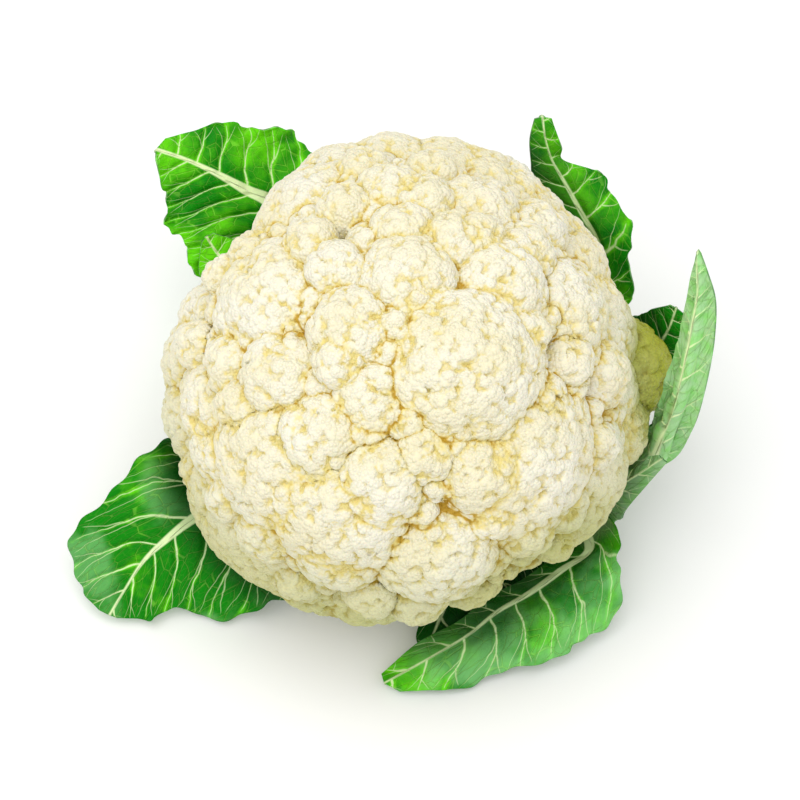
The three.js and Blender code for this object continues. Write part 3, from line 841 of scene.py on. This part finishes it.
class CurdLook(bpy.types.PropertyGroup):
    """The curd's colours and relief"""

    cream: colour("Cream", "Florets' own colour", (0.76, 0.71, 0.5))
    pale: colour("Pale", "Their palest patches", (0.79, 0.76, 0.62))
    # Crease colours: partly the curd's own, partly painted shade in its creases and gorges
    crease: colour("Crease", "Between lumps and knobs", (0.74, 0.62, 0.22))
    deep: colour("Deep crease", "Orange brown in the gorges", (0.5, 0.3, 0.015))
    # Painted shade: yellow green, and olive between knobs, on the curd's right side, under its front and
    # towards its bottom
    shaded: colour("Shaded florets", "Yellow green where a leaf covered them", (0.35, 0.375, 0.015))
    shaded_crease: colour("Shaded crease", "Olive between their knobs", (0.2, 0.19, 0.004))
    detail: bpy.props.IntProperty(
        name="Detail", description="Cells along a twentieth of the surface", default=170, min=20, max=180
    )
    lump_depth: millimetres("Lump depth", "Of the creases between lumps", 2.1)
    knob_spacing: millimetres("Knob spacing", "Between knobs", 6.0)
    knob_depth: millimetres("Knob depth", "Of the creases between knobs", 1.7)
    granule_size: metres("Granule size", "Across a granule", 0.003)
    granule_depth: metres("Granule depth", "Of the creases between granules", 0.0005)


class LeafLook(bpy.types.PropertyGroup):
    """The colours of the leaves and the stalk"""

    green: colour("Green", "Upper side", (0.003, 0.22, 0.002))
    # Painted shade: near-black green on blades near and under the curd, and towards their foot
    painted_shade_green: colour("Dark green", "Inner part of a blade, beside the curd", (0.0006, 0.03, 0.002))
    bright: colour("Bright green", "Younger patches", (0.13, 0.68, 0.004))
    bloom: colour("Bloom", "Greyish wax on the upper side", (0.25, 0.6, 0.22))
    under: colour("Underside", "Pale underside", (0.4, 0.67, 0.34))
    vein: colour("Vein", "Midrib and veins", (0.74, 0.88, 0.48))
    twig: colour("Small vein", "Network between the veins", (0.3, 0.56, 0.1))
    stalk: colour("Stalk", "Stem and leafstalks", (0.6, 0.72, 0.34))
    streak: colour("Stalk streaks", "Paler streaks along the stem", (0.78, 0.83, 0.56))


class StageLook(bpy.types.PropertyGroup):
    """The light and the floor"""

    key: bpy.props.FloatProperty(name="Key light", description="Watts", default=5.5)
    sky: bpy.props.FloatProperty(name="Sky", description="Strength of the light from all round", default=0.95)
    floor: colour("Floor", "Pale floor", (0.92, 0.92, 0.92))


def shade(directions):
    """How much painted shade each place gets: on the curd's right side, under its front and towards its
    bottom.
    """
    return np.max([
        smooth(directions @ unit(np.array(towards)), start, full) * strength
        for towards, start, full, strength in SHADES
    ], axis=0)


def floret_groups(whose):
    """The group of florets that each place belongs to. The core goes with the front left one."""
    groups = []
    for floret in ALL_FLORETS:
        x, y, z = floret.middle
        if z > TOP_GROUP_HEIGHT:
            groups.append(0)
        else:
            groups.append(1 + (x > 0) + 2 * (y > 0))
    return np.array(groups + [1])[whose]


def outward_directions(points, faces):
    """The surface's own outward direction at each of its points."""
    a, b, c = (points[faces[:, k]] for k in range(3))
    normals = np.cross(b - a, c - a)
    total = np.zeros(points.shape)
    for k in range(3):
        for axis in range(3):
            total[:, axis] += np.bincount(faces[:, k], normals[:, axis], len(points))
    return unit(total)


def wedge(name, points, faces, values):
    """A group of florets as a closed piece: its faces, and walls from its border to the head's middle."""
    edges = np.concatenate([faces[:, [0, 1]], faces[:, [1, 2]], faces[:, [2, 0]]])
    forward = edges[:, 0].astype(np.int64) * len(points) + edges[:, 1]
    backward = edges[:, 1].astype(np.int64) * len(points) + edges[:, 0]
    border = edges[~np.isin(forward, backward)]
    used, back = np.unique(faces, return_inverse=True)
    where = np.zeros(len(points), int)
    where[used] = np.arange(len(used))
    walls = np.stack([where[border[:, 1]], where[border[:, 0]], np.full(len(border), len(used))], 1)
    kept = [(key, np.concatenate([v[used], np.zeros((1,) + v.shape[1:])])) for key, v in values]
    own = np.concatenate([points[used], HEAD_MIDDLE[None]])
    made = mesh_object(name, own, np.concatenate([back.reshape(-1, 3), walls]), kept)
    soft = np.ones(len(made.data.polygons), bool)
    soft[len(faces):] = False
    made.data.polygons.foreach_set("use_smooth", soft)
    return made


class GrowCurd(bpy.types.Operator):
    """Grow the curd, in groups of florets: lumps, knobs and granules"""

    bl_idname = "cauliflower.grow_curd"
    bl_label = "Grow the curd"

    def execute(self, context):
        look = context.scene.cauliflower_curd
        finish = curd_finish(look)
        directions, faces = geodesic(look.detail)
        radius, lump_crease, knob_crease, gorge, whose = curd_surface(directions, look)
        points = HEAD_MIDDLE + directions * radius[:, None]
        coarse = [LEAST_GRANULES + MORE_GRANULES * draw(i + 0.3) for i in range(len(ALL_FLORETS))]
        sunk = envelope_radius(directions) * dipped(directions) - radius
        values = [
            ("lump_crease", lump_crease),
            ("knob_crease", knob_crease),
            ("gorge", gorge),
            # How deep a place sinks below the head's envelope, for the painted shade in the gorges
            ("sunk", smooth(sunk, *SUNK_DEPTHS)),
            # Painted shade on the curd
            ("shade", shade(directions)),
            ("coarse", np.array(coarse + [0.0])[whose]),
            ("outward", outward_directions(points, faces)),
        ]
        tree = granule_tree()
        groups = floret_groups(whose)[faces[:, 0]]
        for number, name in enumerate(GROUP_NAMES):
            part = wedge(name + "_draft", points, faces[groups == number], values)
            settings = {
                "Size": look.granule_size,
                "Depth": look.granule_depth,
                "Seed": GRANULE_SEED,
                "Material": finish,
            }
            piece = grown(tree, part, name, settings)
            bpy.data.objects.remove(part)
            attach(piece, "root")
            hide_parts("curd")
        return {"FINISHED"}


class Curve:
    """A centripetal Catmull-Rom curve through points, the same as the solids' edges follow."""

    def __init__(self, points):
        self.points = np.array(points, float)

    def at(self, t):
        points = self.points
        count = len(points)
        place = (count - 1) * t
        i = min(int(place), count - 2)
        w = place - i
        before = points[i - 1] if i > 0 else 2 * points[0] - points[1]
        a, b = points[i], points[i + 1]
        after = points[i + 2] if i + 2 < count else 2 * points[-1] - points[-2]
        d0 = np.sum((before - a) ** 2) ** 0.25
        d1 = np.sum((a - b) ** 2) ** 0.25
        d2 = np.sum((b - after) ** 2) ** 0.25
        t1 = ((a - before) / d0 - (b - before) / (d0 + d1) + (b - a) / d1) * d1
        t2 = ((b - a) / d1 - (after - a) / (d1 + d2) + (after - b) / d2) * d1
        return a + t1 * w + (-3 * a + 3 * b - 2 * t1 - t2) * w**2 + (2 * a - 2 * b + t1 + t2) * w**3


def leaf_curves(leaf):
    angle = math.radians(leaf.bearing)
    outward = np.array([-math.sin(angle), -math.cos(angle), 0])
    to_right = np.array([outward[1], -outward[0], 0])

    def root_row(reach, lift):
        start = outward * (STALK_RADIUS + reach) + np.array([0, 0, leaf.height + lift])
        half = RIB_HALF_WIDTH[0] * leaf.stout + 0.5
        return [start - to_right * half, start, start + to_right * half]

    rows = [root_row(0.6, 0), root_row(FIRST_REACH, 1)]
    rows += [[seen_at_height(*p) for p in row] for row in leaf.rows]
    return [Curve([row[side] for row in rows]) for side in range(3)]


def vein_phase(along, reach, width, side, seed):
    """The side veins' own coordinates: which vein a place is on or between, and how far out along it."""
    wobble = 1.5 * np.sin(along * 0.105 + 2 * side + seed) + 1.0 * np.sin(reach * 0.21 + along * 0.06 + seed)
    line = along + wobble - VEIN_SLOPE * reach * (1 + 0.25 * reach / width)
    order = line / VEIN_SPACING + (0.23 * side) + 60
    run = (reach * math.hypot(1, VEIN_SLOPE) + 1.1 * np.sin(along * 0.19 + seed + side)) / TWIG_SPACING + 20
    return order, run


def tapered(leaf, sizes, s):
    """A rib's size at a share of the way from the leaf's foot to its tip."""
    return leaf.stout * (sizes[0] + (sizes[1] - sizes[0]) * s**0.7)


def leaf_row(leaf, curves, s, length, fine):
    """The points across a leaf at a share of its length, from left to right, each with its values."""
    left, midrib, right = curves
    middle = midrib.at(s)
    spans = {-1: left.at(s) - middle, 1: right.at(s) - middle}
    ahead = midrib.at(min(s + 1e-3, 1)) - midrib.at(max(s - 1e-3, 0))
    normal = unit(np.cross(spans[1] - spans[-1], ahead))
    widths = {side: np.linalg.norm(spans[side]) for side in spans}
    half = min(tapered(leaf, RIB_HALF_WIDTH, s), 0.8 * min(widths.values()))
    blade = np.linspace(0, 1, 2 + 2 * fine)[1:] ** 0.95
    rib = np.linspace(-1, 1, RIB_POINTS)
    waves, wave_height = leaf.wave
    seed = math.radians(leaf.bearing)
    row = []
    for side, shares in ((-1, blade[::-1]), (0, rib), (1, blade)):
        sides = np.sign(shares) + (shares == 0) if side == 0 else np.full(len(shares), side)
        width = np.where(sides < 0, widths[-1], widths[1])
        opened = smooth(width, *OPENING)
        cut = np.sin(s * length * 0.21 + seed + side) + 0.35 * np.sin(s * length * 0.67 - side)
        edge = width + leaf.teeth * cut * opened
        reach = np.abs(rib) * half if side == 0 else half + (edge - half) * shares
        share = reach / width
        order, run = vein_phase(s * length, reach, width, sides, seed)
        between = np.sqrt(np.abs(order - np.round(order)) * 2)
        across = smooth(share, 0.05, 0.25) * (1 - 0.5 * share)
        pucker = leaf.pucker * opened * between * across
        if side == 0:
            lift = -0.2 * half * (1 - rib**2) * smooth(half, 1.5, 5) + pucker
            swell = tapered(leaf, RIB_DEPTH, s) * np.sqrt(1 - rib**2)
        else:
            wave = wave_height * opened * shares**1.5 * np.sin(2 * math.pi * waves * s + side)
            bow = leaf.bow * width * 4 * shares * (1 - shares) * opened
            frill = 0.8 * opened * share**3 * np.sin(s * length * 0.55 + 2.5 * share + side)
            lift = wave + bow + pucker + frill
            swell = np.zeros(len(shares))
        towards = np.where((sides < 0)[:, None], spans[-1] / widths[-1], spans[1] / widths[1])
        places = middle + towards * reach[:, None] + np.outer(lift, normal)
        foot = (1 - opened) * (1 - smooth(s, 0.2, 0.34))
        values = [swell, order, run, sides * reach, share, np.full(len(reach), s), foot]
        row.append(np.concatenate([places, np.stack(values, 1)], 1))
    return np.concatenate(row)


def blade_faces(count, columns):
    """The faces of a closed blade: its upper side, its lower side a layer on, and its four edges."""
    layer = count * columns
    a = (np.arange(count - 1)[:, None] * columns + np.arange(columns - 1)).reshape(-1)
    top = np.stack([a, a + 1, a + columns + 1, a + columns], 1)
    left = np.arange(count - 1) * columns
    right = left + columns - 1
    foot = np.arange(columns - 1)
    tip = (count - 1) * columns + foot
    return np.concatenate([
        top,
        layer + top[:, ::-1],
        np.stack([left, left + columns, layer + left + columns, layer + left], 1),
        np.stack([right + columns, right, layer + right, layer + right + columns], 1),
        np.stack([foot + 1, foot, layer + foot, layer + foot + 1], 1),
        np.stack([tip, tip + 1, layer + tip + 1, layer + tip], 1),
    ])


def leaf_mesh(leaf, fine):
    """Points, faces and values of a leaf: the solid's own form, with puckers between veins and a cut edge."""
    curves = leaf_curves(leaf)
    steps = (len(leaf.rows) + 1) * fine
    along = [curves[1].at(i / 60) for i in range(61)]
    length = sum(np.linalg.norm(ahead - behind) for behind, ahead in zip(along, along[1:]))
    grid = np.array([leaf_row(leaf, curves, i / steps, length, fine) for i in range(steps + 1)])
    count, columns = grid.shape[:2]
    flat = clear_of_curd(grid[:, :, :3].reshape(-1, 3), HEAD_CLEARANCE).reshape(count, columns, 3)
    up = unit(np.cross(np.gradient(flat, axis=1), np.gradient(flat, axis=0)))
    lower = flat - up * (BLADE_THICKNESS + grid[:, :, 3])[:, :, None]
    points = np.concatenate([flat.reshape(-1, 3), lower.reshape(-1, 3)])
    away = points - HEAD_MIDDLE
    outside = np.linalg.norm(away, axis=1) - envelope_radius(unit(away))
    names = ("order", "run", "reach", "share", "along", "foot")
    values = [(name, np.tile(grid[:, :, 4 + n].reshape(-1), 2)) for n, name in enumerate(names)]
    values.append(("under", np.repeat([0.0, 1.0], count * columns)))
    # Painted shade from the curd: full inside the head's envelope, fading out beyond it
    values.append(("in_curd_shadow", 1 - smooth(outside, *CURD_SHADOW_REACH)))
    return points, blade_faces(count, columns), values


def leaf_finish(look, name, bright, bloom, turned, shadow, rib):
    """Waxy green above with pale veins, paler and greyer below, with painted shade near the curd and towards
    the foot. A turned leaf shows its lower side.
    """
    finish = Finish(name, 0.42)
    order, run, reach, share, along, foot, under = (
        finish.value(key) for key in ("order", "run", "reach", "share", "along", "foot", "under")
    )
    lower_side = under * -1.0 + 1.0 if turned else under
    blade_share = foot * -1.0 + 1.0
    patch = finish.noise(0.022, 3)
    mottle = finish.noise(0.005, 4)
    ragged = (finish.noise(0.013, 2) - 0.5) * 0.42
    wandering = order + ragged
    apart = wandering.between()
    off = wandering - wandering.nearest()
    vein_half = share.ramp(0.0, 0.9, 0.036, 0.009)
    side_vein = ((apart * -1.0 + vein_half) * 20.0).ramp(-0.45, 0.45)
    fork_vein = finish.fork(off, share, 0.32, 0.75).most(finish.fork(off, share, 0.55, -0.95))
    weave = finish.plane(order * 2.3 + ragged, run * 1.15 + ragged)
    midrib_half = along.ramp(0.2, 0.9, 3.2 * rib, 0.5 * rib)
    midrib = (reach.size() * -1.0 + midrib_half).ramp(-0.4, 0.4)
    flesh = midrib.most(foot) * -1.0 + 1.0
    net = finish.cells(1.15, "DISTANCE_TO_EDGE", weave).ramp(0.01, 0.035, 1, 0) * flesh
    fine_net = finish.cells(0.4, "DISTANCE_TO_EDGE", weave).ramp(0.02, 0.1, 1, 0) * flesh
    pale = (side_vein * 0.85).most(midrib).most(foot) * share.ramp(0.93, 1.0, 1, 0)
    halo = (apart.ramp(0.02, 0.16, 1, 0) * 0.45 + net * 0.2) * blade_share
    tone = patch * 0.75 + mottle * 0.25 + halo * 0.3
    sunlit = finish.blend(tone.ramp(0.72 - 0.42 * bright, 1.0 - 0.4 * bright), look.green, look.bright)
    # Painted shade: darker green towards the leaf's foot
    green = finish.blend(along.ramp(0.2, 0.5, 0.5, 0.0), sunlit, look.painted_shade_green)
    waxed = finish.blend(finish.noise(0.03, 4).ramp(0.46, 0.62) * bloom, green, look.bloom)
    lower = finish.blend(mottle.ramp(0.3, 0.8, 0, 0.5), look.under, look.bright)
    blade = finish.blend(lower_side, waxed, lower)
    netted = finish.blend((fine_net * 0.05).most(net * 0.22), blade, look.twig)
    # Painted shade: near-black green near and under the curd, with the veins half faded there
    in_curd_shadow = finish.value("in_curd_shadow") * shadow
    darkened = finish.blend(in_curd_shadow, netted, look.painted_shade_green)
    finish.colour(finish.blend(pale.most(fork_vein * 0.55) * (in_curd_shadow * -0.5 + 1.0), darkened, look.vein))
    finish.rough(mottle.ramp(0.2, 0.8, 0.42, 0.6))
    cushion = apart.ramp(0.0, 0.3) * 0.5 - net * 0.2 - fine_net * 0.05
    finish.bump(cushion * blade_share * (under * -2.0 + 1.0) + mottle * 0.15, 0.0018, 0.85)
    finish.settle({"Specular IOR Level": 0.08, "Subsurface Weight": 0.05})
    finish.settle({"Subsurface Radius": (0.0004, 0.0016, 0.0002)})
    return finish.material


class GrowLeaves(bpy.types.Operator):
    """Grow the leaves, with their veins, puckers and cut edges"""

    bl_idname = "cauliflower.grow_leaves"
    bl_label = "Grow the leaves"

    def execute(self, context):
        look = context.scene.cauliflower_leaf
        finishes = {}
        for leaf in LEAVES:
            key = leaf.tone
            if key not in finishes:
                finishes[key] = leaf_finish(look, "leaf_blade_" + key, *TONES[key])
            cells = LEAF_CELLS
            piece = mesh_object(leaf.name + "_blade", *leaf_mesh(leaf, cells))
            piece.data.materials.append(finishes[key])
            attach(piece, "root")
            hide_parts(leaf.name)
        return {"FINISHED"}


class GrowStalk(bpy.types.Operator):
    """Give the solid stalk, with its cut foot, a finish of paler streaks"""

    bl_idname = "cauliflower.grow_stalk"
    bl_label = "Grow the stalk"

    def execute(self, context):
        look = context.scene.cauliflower_leaf
        finish = Finish("stalk_flesh", 0.5)
        streak = finish.noise(0.004, 3)
        patch = finish.noise(0.02, 3)
        finish.colour(finish.blend((streak * 0.5 + patch * 0.5).ramp(0.35, 0.7), look.stalk, look.streak))
        finish.bump(streak, 0.0008, 0.6)
        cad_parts["stalk"].data.materials.clear()
        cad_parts["stalk"].data.materials.append(finish.material)
        return {"FINISHED"}


def aimed(place, aim):
    """The rotation that turns a light or a camera at a place to what it aims at."""
    return (Vector(aim) - Vector(place)).to_track_quat("-Z", "Y").to_euler()


def lay_floor(tone):
    low, high, z = -FLOOR_HALF, FLOOR_HALF, -FLOOR_DROP
    mesh = bpy.data.meshes.new("floor")
    mesh.from_pydata([(low, low, z), (high, low, z), (high, high, z), (low, high, z)], [], [(0, 1, 2, 3)])
    paint = bpy.data.materials.new("floor_paint")
    paint.use_nodes = True
    shader = paint.node_tree.nodes["Principled BSDF"]
    shader.inputs["Base Color"].default_value = (*tone, 1)
    shader.inputs["Roughness"].default_value = 0.9
    mesh.materials.append(paint)
    floor = linked("floor", mesh)


def light_sky(strength):
    world = bpy.data.worlds.new("sky")
    world.use_nodes = True
    background = world.node_tree.nodes["Background"]
    background.inputs["Color"].default_value = (1, 1, 1, 1)
    background.inputs["Strength"].default_value = strength
    bpy.context.scene.world = world


def hang_key_light(power):
    light = bpy.data.lights.new("key", "AREA")
    light.energy = power
    light.size = KEY_SIZE
    light.color = KEY_COLOUR
    lamp = linked("key", light)
    lamp.location = KEY_PLACE
    lamp.rotation_euler = aimed(KEY_PLACE, HEAD_MIDDLE * MM)


def set_camera():
    lens = bpy.data.cameras.new("camera")
    lens.lens = SENSOR_WIDTH * LOOK_DISTANCE / SEEN_WIDTH
    camera = linked("camera", lens)
    aim = Vector((HEAD_MIDDLE - TO_TOP * AIM_DROP) * MM)
    camera.location = aim + Vector(TO_EYE) * LOOK_DISTANCE * MM
    camera.rotation_euler = aimed(camera.location, aim)
    bpy.context.scene.camera = camera


class SetStage(bpy.types.Operator):
    """Set the pale floor, the soft light and the camera"""

    bl_idname = "cauliflower.set_stage"
    bl_label = "Set the stage"

    def execute(self, context):
        look = context.scene.cauliflower_stage
        lay_floor(look.floor)
        light_sky(look.sky)
        hang_key_light(look.key)
        set_camera()
        context.scene.view_settings.view_transform = "Standard"
        return {"FINISHED"}


class CauliflowerPanel(bpy.types.Panel):
    """What the cauliflower is grown from"""

    bl_idname = "VIEW3D_PT_cauliflower"
    bl_label = "Cauliflower"
    bl_space_type = "VIEW_3D"
    bl_region_type = "UI"
    bl_category = "Cauliflower"

    def draw(self, context):
        for key, operators in (
            ("cauliflower_curd", [GrowCurd]),
            ("cauliflower_leaf", [GrowStalk, GrowLeaves]),
            ("cauliflower_stage", [SetStage]),
        ):
            group = getattr(context.scene, key)
            box = self.layout.box()
            for name in group.bl_rna.properties.keys():
                if name not in ("rna_type", "name"):
                    box.prop(group, name)
            for operator in operators:
                box.operator(operator.bl_idname)


GROUPS = {"cauliflower_curd": CurdLook, "cauliflower_leaf": LeafLook, "cauliflower_stage": StageLook}
CLASSES = (CurdLook, LeafLook, StageLook, GrowCurd, GrowStalk, GrowLeaves, SetStage, CauliflowerPanel)


def register():
    for made in CLASSES:
        bpy.utils.register_class(made)
    for key, group in GROUPS.items():
        setattr(bpy.types.Scene, key, bpy.props.PointerProperty(type=group))


def unregister():
    for key in GROUPS:
        delattr(bpy.types.Scene, key)
    for made in reversed(CLASSES):
        bpy.utils.unregister_class(made)


def main():
    register()
    bpy.ops.cauliflower.set_stage()
    bpy.ops.cauliflower.grow_curd()
    bpy.ops.cauliflower.grow_stalk()
    bpy.ops.cauliflower.grow_leaves()


if __name__ == "__main__":
    main()
